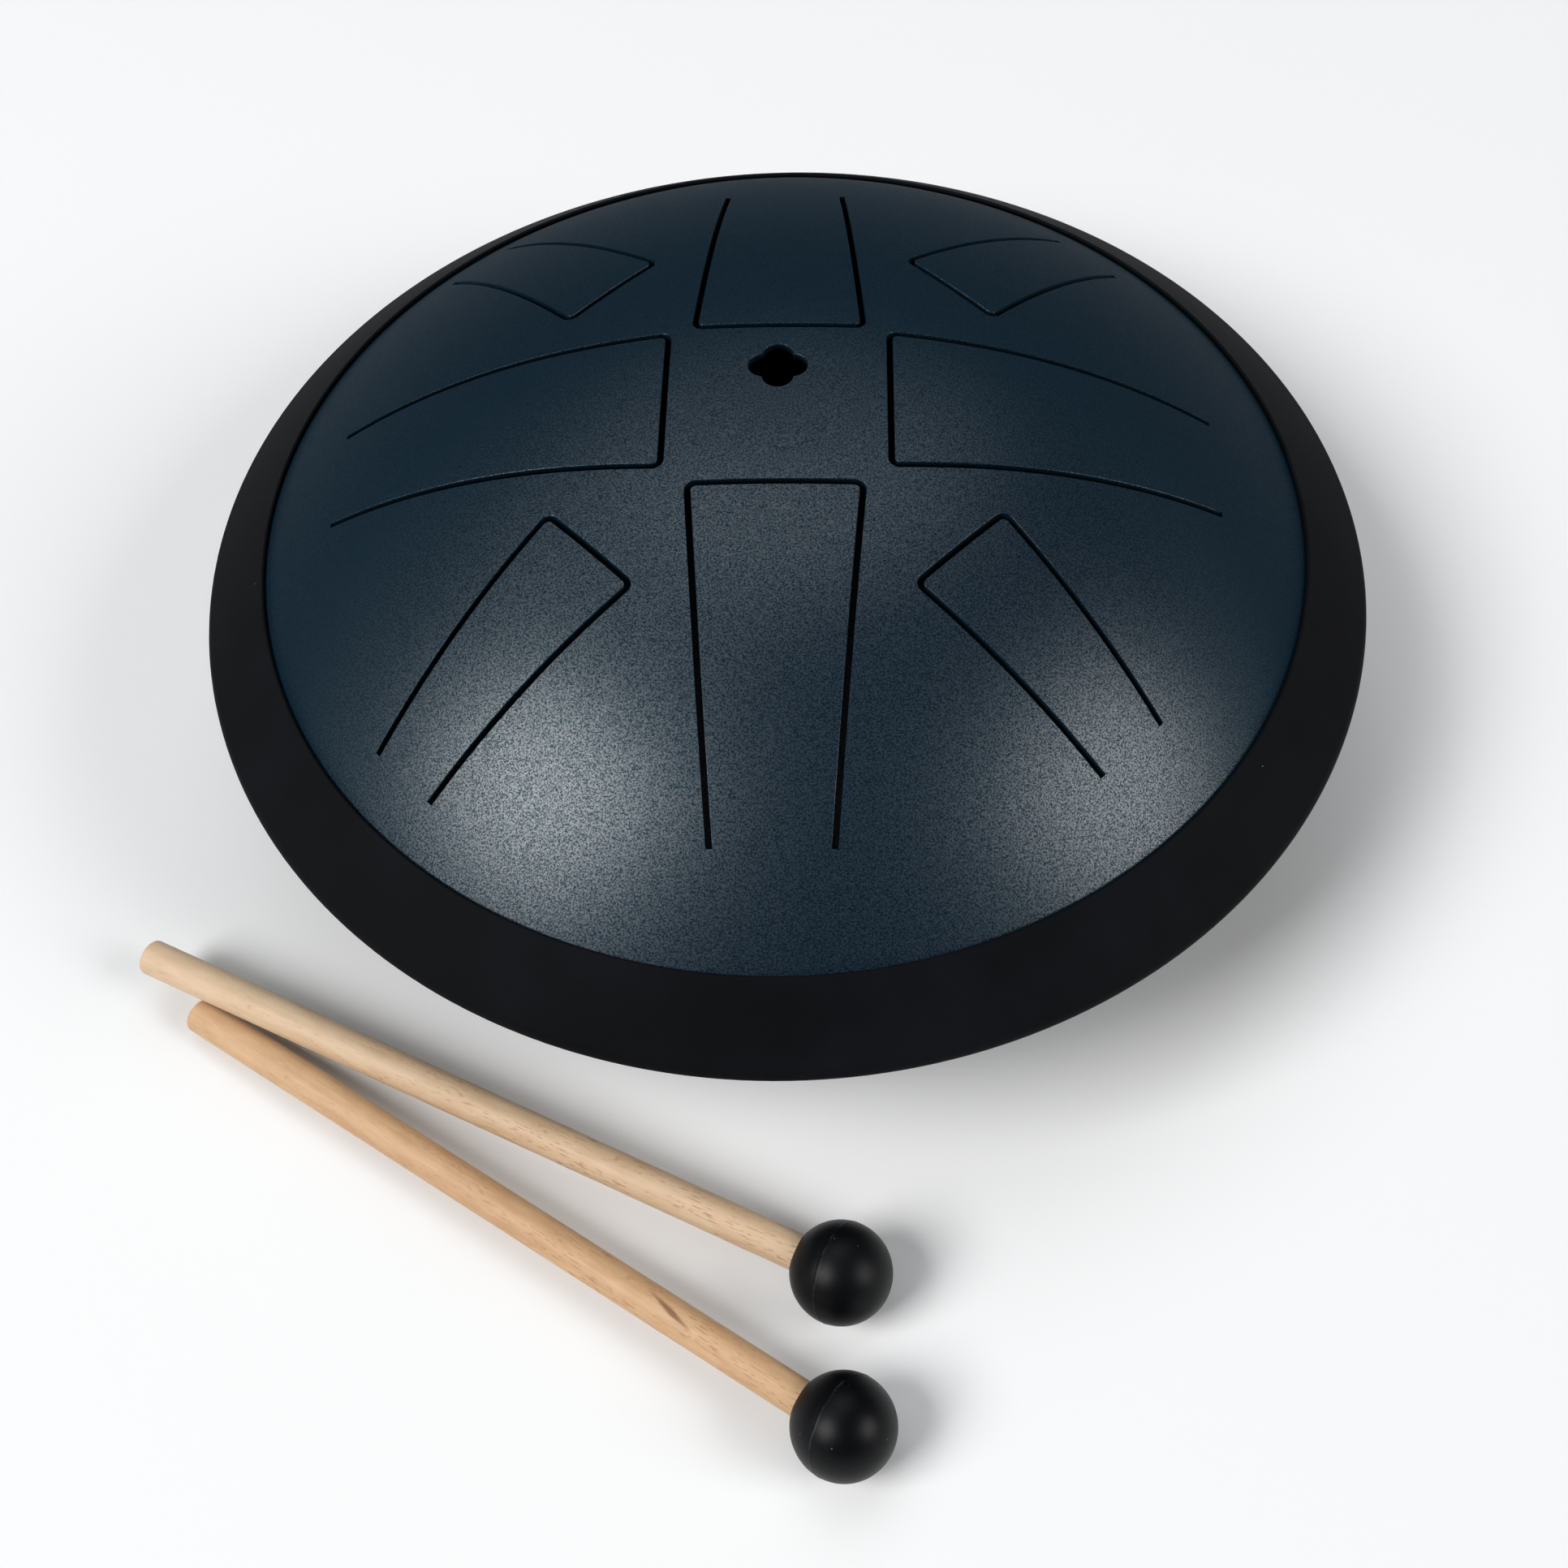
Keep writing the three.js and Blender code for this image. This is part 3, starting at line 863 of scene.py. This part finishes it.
class Board:
    """The node board of a material or of the room."""

    def __init__(self, owner: Finish | bpy.types.World) -> None:
        """Empty the board.

        Args:
            owner: The new material or room that it belongs to.
        """
        owner.use_nodes = True
        self.owner = owner
        self.tree = owner.node_tree
        self.tree.nodes.clear()

    @classmethod
    def named(cls, name: str) -> Board:
        """Start a new material."""
        return cls(bpy.data.materials.new(name))

    def node(self, kind: str, inputs: Mapping[str | int, object] | None = None, output: str | int = 0,
             **settings: object) -> Signal:
        """Add any node.

        Args:
            kind: The node's type.
            inputs: Values or signals for its sockets, by name or number.
            output: The socket that goes on.
            **settings: The node's own properties, set first.

        Returns:
            That socket as a signal.
        """
        made = self.tree.nodes.new(kind)
        for setting, value in settings.items():
            setattr(made, setting, value)
        for key, value in (inputs or {}).items():
            if isinstance(value, Signal):
                self.tree.links.new(value.socket, made.inputs[key])
            else:
                made.inputs[key].default_value = value
        return Signal(self, made.outputs[output])

    def math(self, operation: str, first: Signal | float, second: Signal | float) -> Signal:
        """Add a Math node."""
        return self.node("ShaderNodeMath", {0: first, 1: second}, operation=operation)

    def mix(self, share: Signal, first: Signal | Colour, second: Signal | Colour) -> Signal:
        """Go from the first colour to the second as the share rises from zero to one."""
        return self.node("ShaderNodeMix", {0: share, 6: first, 7: second}, 2, data_type="RGBA")

    def place(self) -> Signal:
        """Place on the piece, in the part's own frame."""
        return self.node("ShaderNodeTexCoord", output="Object")

    def seen_from(self, centre: Vector, turn: Euler, scale: Sequence[float] = (1, 1, 1)) -> Signal:
        """Place measured from a centre along turned axes, in lengths of their own."""
        inputs = {"Vector": self.place(), "Location": centre, "Rotation": turn, "Scale": scale}
        return self.node("ShaderNodeMapping", inputs, vector_type="TEXTURE")

    def noise(self, place: Signal, size: float, detail: float = 2, roughness: float = 0.5) -> Signal:
        """Cloudy values about a half, with lumps of a size."""
        inputs = {"Vector": place, "Scale": 1 / size, "Detail": detail, "Roughness": roughness}
        return self.node("ShaderNodeTexNoise", inputs)

    def specks(self, place: Signal, cell: float, size: float, share: float) -> Signal:
        """Scattered round dots.

        Args:
            place: Where on the surface.
            cell: Room for one dot.
            size: A dot's radius.
            share: Share of the rooms that hold a dot.

        Returns:
            One on a dot, otherwise zero.
        """
        inputs = {"Vector": place, "Scale": 1 / cell}
        distance = self.node("ShaderNodeTexVoronoi", inputs, "Distance")
        room = self.node("ShaderNodeTexVoronoi", inputs, "Color")
        chance = self.node("ShaderNodeSeparateColor", {"Color": room}, "Red")
        chosen = self.math("LESS_THAN", chance, share)
        return (1 - distance.rise(0.5 * size / cell, size / cell)) * chosen

    def bump(self, height: Signal, strength: float, distance: float) -> Signal:
        """Turn a height into a normal."""
        inputs = {"Height": height, "Strength": strength, "Distance": distance}
        return self.node("ShaderNodeBump", inputs)

    def end(self, kind: str, shader: Signal) -> None:
        """Lead a shader to an output node."""
        output = self.tree.nodes.new(kind)
        self.tree.links.new(shader.socket, output.inputs["Surface"])

    def surface(self, sockets: Mapping[str, object]) -> Finish:
        """End the board in a Principled surface, with values or signals for its sockets."""
        self.end("ShaderNodeOutputMaterial", self.node("ShaderNodeBsdfPrincipled", sockets))
        return self.owner


@dataclass(frozen=True)
class PowderCoat:
    """Sandy midnight-blue powder coat with a satin top layer that loses its shine at a low angle."""

    deep: Colour = display_colour(5, 17, 28)
    pale: Colour = display_colour(14, 32, 44)
    sheen: Colour = (0.3, 0.75, 1, 1)
    cloud: float = 70 * MM
    cloud_share: float = 0.3
    cloud_mottle: float = 0.12
    grain: float = 0.33 * MM
    grain_fineness: float = 0.6
    grain_mottle: float = 0.16
    grit_span: Span = (0.36, 0.64)
    depth: float = 0.1 * MM
    roughness: float = 0.34
    gloss: float = 0.14
    dulling: float = 0.5
    dulling_span: Span = (0.2, 0.5)
    satin_least: float = 0.05
    satin_roughness: float = 0.36
    satin_index: float = 1.67
    satin_fading: float = 0.95
    fading_span: Span = (0.16, 0.42)

    def material(self) -> Finish:
        """Build the paint.

        Returns:
            The material.
        """
        board = Board.named("powder_coat")
        place = board.place()
        facing = board.node("ShaderNodeLayerWeight", output="Facing")
        cloud = board.noise(place, self.cloud, detail=3)
        grain = board.noise(place, self.grain, roughness=self.grain_fineness)
        grit = grain.rise(*self.grit_span)
        tone = self.cloud_share * cloud + (1 - self.cloud_share) * grit
        mottled = self.roughness + self.cloud_mottle * cloud.swing() + self.grain_mottle * grain.swing()
        satin = self.satin_least + (1 - self.satin_least) * grit
        return board.surface({
            "Base Color": board.mix(tone, self.deep, self.pale),
            "Roughness": mottled + self.dulling * facing.rise(*self.dulling_span),
            "Normal": board.bump(grain, 1, self.depth),
            "Specular IOR Level": self.gloss,
            "Specular Tint": self.sheen,
            "Coat Weight": satin * (1 - self.satin_fading * facing.rise(*self.fading_span)),
            "Coat Roughness": self.satin_roughness,
            "Coat IOR": self.satin_index,
        })


@dataclass(frozen=True)
class Rubber:
    """Black rubber with a faint bloom and a little dust."""

    name: str
    deep: Colour = display_colour(6, 7, 10)
    bloom: Colour = display_colour(13, 14, 18)
    dust: Colour = display_colour(112, 116, 120)
    roughness: float = 0.7
    gloss: float = 0.06
    cloud: float = 22 * MM
    cloud_mottle: float = 0.15
    bloom_span: Span = (0.3, 0.75)
    grain: float = 0.5 * MM
    grain_mottle: float = 0.1
    relief: float = 0.4
    depth: float = 0.01 * MM
    dust_cell: float = 6 * MM
    dust_size: float = 0.16 * MM
    dust_share: float = 0.3
    dust_dulling: float = 0.2
    parting: tuple[Vector, Euler] | None = None
    parting_span: Span = (0.05 * MM, 0.2 * MM)
    parting_dust: float = 0.12
    patch: float = 2.4 * MM
    patch_span: Span = (0.42, 0.62)

    def _parting_share(self, board: Board) -> Signal:
        """Find the mould's parting line, which has caught dust in places.

        Args:
            board: The material's board.

        Returns:
            Up to one on the line, otherwise zero.
        """
        at = board.seen_from(*self.parting)
        height = board.node("ShaderNodeSeparateXYZ", {0: at}, "Z")
        patches = board.noise(board.place(), self.patch, detail=3)
        near, far = self.parting_span
        return (1 - (height * height).rise(near**2, far**2)) * patches.rise(*self.patch_span)

    def material(self) -> Finish:
        """Build the rubber.

        Returns:
            The material.
        """
        board = Board.named(self.name)
        place = board.place()
        cloud = board.noise(place, self.cloud, detail=4)
        grain = board.noise(place, self.grain)
        dust = board.specks(place, self.dust_cell, self.dust_size, self.dust_share)
        if self.parting is not None:
            dust = dust + self.parting_dust * self._parting_share(board)
        bloomed = board.mix(cloud.rise(*self.bloom_span), self.deep, self.bloom)
        mottled = self.roughness + self.cloud_mottle * cloud.swing() + self.grain_mottle * grain.swing()
        return board.surface({
            "Base Color": board.mix(dust, bloomed, self.dust),
            "Roughness": mottled + self.dust_dulling * dust,
            "Specular IOR Level": self.gloss,
            "Normal": board.bump(grain, self.relief, self.depth),
        })


@dataclass(frozen=True)
class Grain:
    """One layer of a wood's figure: its lumps' length and width, and how finely they break up."""

    along: float
    across: float
    detail: float = 2
    fineness: float = 0.5


@dataclass(frozen=True)
class Beech:
    """Sanded beech with soft figure, fibres and ray flecks along the stick."""

    name: str
    head: Vector
    turn: Euler
    pale: Colour
    warm: Colour
    fleck: Colour = display_colour(158, 108, 74)
    streak: Colour = display_colour(116, 70, 42)
    bands: Grain = Grain(70 * MM, 6 * MM, 3)
    figure: Grain = Grain(7 * MM, 2.2 * MM)
    fibres: Grain = Grain(18 * MM, 0.6 * MM, 3, 0.6)
    layer_shares: tuple[float, float, float] = (0.4, 0.3, 0.3)
    tone_span: Span = (0.34, 0.66)
    dashes: Grain = Grain(2.2 * MM, 0.36 * MM, 1)
    dash_span: Span = (0.57, 0.68)
    clumps: Grain = Grain(12 * MM, 3 * MM)
    clump_span: Span = (0.36, 0.6)
    fleck_least: float = 0.25
    fleck_gain: float = 0.35
    fleck_reach: Span = (-130 * MM, -50 * MM)
    fleck_dent: float = 0.8
    fleck_mottle: float = 0.1
    fibre_mottle: float = 0.2
    roughness: float = 0.55
    relief: float = 0.25
    depth: float = 0.03 * MM
    streak_place: Vector | None = None
    streak_turn: float = -12
    streak_size: tuple[float, float, float] = (6.5 * MM, 0.75 * MM, 2 * MM)
    streak_span: Span = (0.3, 1)
    streak_share: float = 0.85
    waves: Grain = Grain(5 * MM, 1.2 * MM, 3)
    waver: float = 1.1

    def _layer(self, board: Board, grain: Grain) -> Signal:
        """Noise in lumps that lie along the stick."""
        place = board.seen_from(self.head, self.turn, (grain.along, grain.across, grain.across))
        return board.noise(place, 1, grain.detail, grain.fineness)

    def _streak_share(self, board: Board) -> Signal:
        """Find a brown mineral streak that crosses the grain.

        Args:
            board: The material's board.

        Returns:
            One in the middle of the streak, fading to zero round it.
        """
        grain = self.turn.to_matrix()
        crossing = grain @ Matrix.Rotation(math.radians(self.streak_turn), 3, "Z")
        centre = self.head + grain @ self.streak_place
        at = board.seen_from(centre, crossing.to_euler(), self.streak_size)
        far = board.node("ShaderNodeVectorMath", {0: at}, "Value", operation="LENGTH")
        wave = self._layer(board, self.waves).swing()
        return 1 - (far + self.waver * wave).rise(*self.streak_span)

    def material(self) -> Finish:
        """Build the wood.

        Returns:
            The material.
        """
        board = Board.named(self.name)
        bands = self._layer(board, self.bands)
        figure = self._layer(board, self.figure)
        fibres = self._layer(board, self.fibres)
        dashes = self._layer(board, self.dashes).rise(*self.dash_span)
        clumps = self._layer(board, self.clumps).rise(*self.clump_span)
        flecks = dashes * clumps
        at = board.seen_from(self.head, self.turn)
        reach = board.node("ShaderNodeSeparateXYZ", {0: at}, "X")
        fleck_share = self.fleck_least + self.fleck_gain * reach.rise(*self.fleck_reach)
        band_share, figure_share, fibre_share = self.layer_shares
        tone = band_share * bands + figure_share * figure + fibre_share * fibres
        wood = board.mix(tone.rise(*self.tone_span), self.warm, self.pale)
        colour = board.mix(fleck_share * flecks, wood, self.fleck)
        if self.streak_place is not None:
            colour = board.mix(self.streak_share * self._streak_share(board), colour, self.streak)
        return board.surface({
            "Base Color": colour,
            "Roughness": self.roughness + self.fibre_mottle * fibres.swing() + self.fleck_mottle * flecks,
            "Normal": board.bump(fibres - self.fleck_dent * flecks, self.relief, self.depth),
        })


@dataclass(frozen=True)
class Adhesive:
    """Grey structural adhesive between the flanges."""

    deep: Colour = display_colour(52, 52, 54)
    pale: Colour = display_colour(70, 70, 72)
    lump: float = 4 * MM
    roughness: float = 0.7
    mottle: float = 0.2
    relief: float = 0.3
    depth: float = 0.1 * MM

    def material(self) -> Finish:
        """Build the adhesive.

        Returns:
            The material.
        """
        board = Board.named("seam_adhesive")
        lumps = board.noise(board.place(), self.lump, detail=3)
        return board.surface({
            "Base Color": board.mix(lumps, self.deep, self.pale),
            "Roughness": self.roughness + self.mottle * lumps.swing(),
            "Normal": board.bump(lumps, self.relief, self.depth),
        })


@dataclass(frozen=True)
class Softbox:
    """A square studio lamp aimed at the drum."""

    name: str
    azimuth: float
    elevation: float
    power: float
    width: float
    colour: tuple[float, float, float] = (1, 1, 1)
    distance: float = 4

    def hang(self, aim: Vector) -> None:
        """Hang the lamp.

        Args:
            aim: The place that it is turned to.
        """
        turn = math.radians(self.azimuth)
        lift = math.radians(self.elevation)
        level = math.cos(lift)
        way = Vector((math.sin(turn) * level, math.cos(turn) * level, math.sin(lift)))
        bpy.ops.object.light_add(type="AREA", location=aim + way * self.distance)
        lamp = bpy.context.active_object
        lamp.name = self.name
        lamp.rotation_euler = way.to_track_quat("Z", "Y").to_euler()
        lamp.data.energy = self.power
        lamp.data.size = self.width
        lamp.data.color = self.colour


@dataclass
class Studio:
    """White table, dim room, four softboxes and the camera."""

    floor_height: float
    aim: Vector = Vector((0, 0, 0.05))
    softboxes: Sequence[Softbox] = (
        Softbox("softbox_left", azimuth=-118.7, elevation=44.6, power=151, width=2),
        Softbox("softbox_right", azimuth=107.5, elevation=32.6, power=85, width=1.9),
        Softbox("softbox_above", azimuth=-47, elevation=64, power=26, width=3, colour=COOL_LIGHT),
        Softbox("softbox_behind", azimuth=4, elevation=56, power=24, width=2.6, colour=COOL_LIGHT),
    )
    floor_radius: float = 2
    floor_sides: int = 128
    floor_colour: Colour = (0.83, 0.83, 0.83, 1)
    floor_roughness: float = 0.9
    room: float = 0.02
    horizon: float = 0.7
    horizon_span: Span = (0.08, 0.2)
    camera_place: Vector = Vector((13.62, -280.94, 370.4)) * MM
    camera_turn: float = 3.279
    camera_tilt: float = 33.467
    camera_roll: float = -2.812
    focal_pixels: float = 2400
    photo_pixels: float = 1932
    sensor: float = 36

    def lay_floor(self) -> None:
        """Lay a round pale floor under the feet and mallets."""
        floor = Workpiece(
            "floor", bpy.ops.mesh.primitive_circle_add, vertices=self.floor_sides,
            radius=self.floor_radius, fill_type="NGON", location=(0, 0, self.floor_height),
        )
        matt = {"Base Color": self.floor_colour, "Roughness": self.floor_roughness}
        floor.shape.data.materials.append(Board.named("white_table").surface(matt))

    def light(self) -> None:
        """Hang the softboxes and dim the room above a pale horizon."""
        for softbox in self.softboxes:
            softbox.hang(self.aim)
        world = bpy.data.worlds.new("room")
        bpy.context.scene.world = world
        board = Board(world)
        way = board.node("ShaderNodeTexCoord", output="Generated")
        height = board.node("ShaderNodeSeparateXYZ", {0: way}, "Z")
        low, high = self.horizon_span
        limits = {"From Min": low, "From Max": high, "To Min": self.horizon, "To Max": self.room}
        level = board.node("ShaderNodeMapRange", {"Value": height, **limits})
        board.end("ShaderNodeOutputWorld", board.node("ShaderNodeBackground", {"Color": level}))

    def set_camera(self) -> None:
        """Stand the camera where the photograph was taken from."""
        bpy.ops.object.camera_add(location=self.camera_place)
        camera = bpy.context.active_object
        camera.name = "camera"
        turns = ((self.camera_turn, "Z"), (self.camera_tilt, "X"), (self.camera_roll, "Z"))
        turn, tilt, roll = (Matrix.Rotation(math.radians(angle), 3, axis) for angle, axis in turns)
        camera.rotation_euler = (turn @ tilt @ roll).to_euler()
        camera.data.sensor_width = self.sensor
        camera.data.lens = self.focal_pixels / self.photo_pixels * self.sensor
        bpy.context.scene.camera = camera
        bpy.context.scene.view_settings.view_transform = "Standard"


def report(piece: Shape) -> None:
    """Log a finished piece with its face count."""
    LOG.info("%s: %d faces", piece.name, len(piece.data.polygons))


def build_drum(frame: Mapping[str, object]) -> None:
    """Build and dress the shells, the tongues, the band and the feet.

    Args:
        frame: The loaded frame.
    """
    _, shell_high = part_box("top_shell")
    _, band_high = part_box("rim_band")
    bond_low, bond_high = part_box("rim_bond")
    seam = (bond_low.z + bond_high.z) / 2
    edge_height = seam + DOME_EDGE_OVER_SEAM
    dome = Dome(DOME_RADIUS, edge_height, shell_high.z - edge_height)
    upper_flange = bond_high.z + SHEET
    skirt_radius = DOME_RADIUS + SKIRT_MARGIN
    flange_radius = shell_high.x
    pan = BottomShell(skirt_radius, flange_radius, bond_low.z - SHEET)
    plans = [TonguePlan.from_joint(joint) for joint in frame["joints"] if joint["type"] == "hinge"]

    paint = PowderCoat().material()
    band_rubber = Rubber("band_rubber").material()
    foot_rubber = Rubber("foot_rubber").material()
    pieces = [
        (TopShell(dome, plans, skirt_radius, flange_radius, upper_flange), paint),
        *((Tongue(dome, plan), paint) for plan in plans),
        (pan, paint),
        (RimBand(dome, pan, upper_flange, seam, band_high.x), band_rubber),
        *((Foot(node), foot_rubber) for node in frame["nodes"] if node.startswith("foot_")),
    ]
    for piece, finish in pieces:
        made = piece.build()
        piece.dress(made, finish)
        report(made)

    bond = frame["nodes"]["rim_bond"]
    bond.data.materials.clear()
    bond.data.materials.append(Adhesive().material())


def build_mallets() -> None:
    """Build and dress the two mallets."""
    upper = Mallet("mallet_1", heading=-24.9, pitch=0)
    lower = Mallet("mallet_2", heading=-32.37, pitch=2.184)
    woods = [
        Beech("beech_upper", upper.head_centre, upper.turn,
              pale=display_colour(212, 185, 154), warm=display_colour(197, 165, 131)),
        Beech("beech_lower", lower.head_centre, lower.turn,
              pale=display_colour(205, 168, 128), warm=display_colour(186, 146, 107),
              streak_place=Vector((-39, -0.2, 3.6)) * MM),
    ]
    for mallet, wood in zip((upper, lower), woods):
        rubber = Rubber(f"{mallet.name}_rubber", deep=display_colour(2, 3, 5), bloom=display_colour(7, 8, 11),
                        roughness=0.42, gloss=0.15, dust_cell=2.6 * MM, dust_share=0.45,
                        parting=(mallet.head_centre, mallet.mould_turn))
        stick = mallet.build_stick()
        head = mallet.build_head()
        mallet.dress(stick, head, wood.material(), rubber.material())
        report(stick)
        report(head)


def main() -> None:
    """Load the frame, build every piece around it and set up the studio."""
    logging.basicConfig(level=logging.INFO, format="%(name)s: %(message)s")
    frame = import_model()
    build_drum(frame)
    build_mallets()
    studio = Studio(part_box("foot_front_left")[0].z)
    studio.lay_floor()
    studio.light()
    studio.set_camera()


if __name__ == "__main__":
    main()
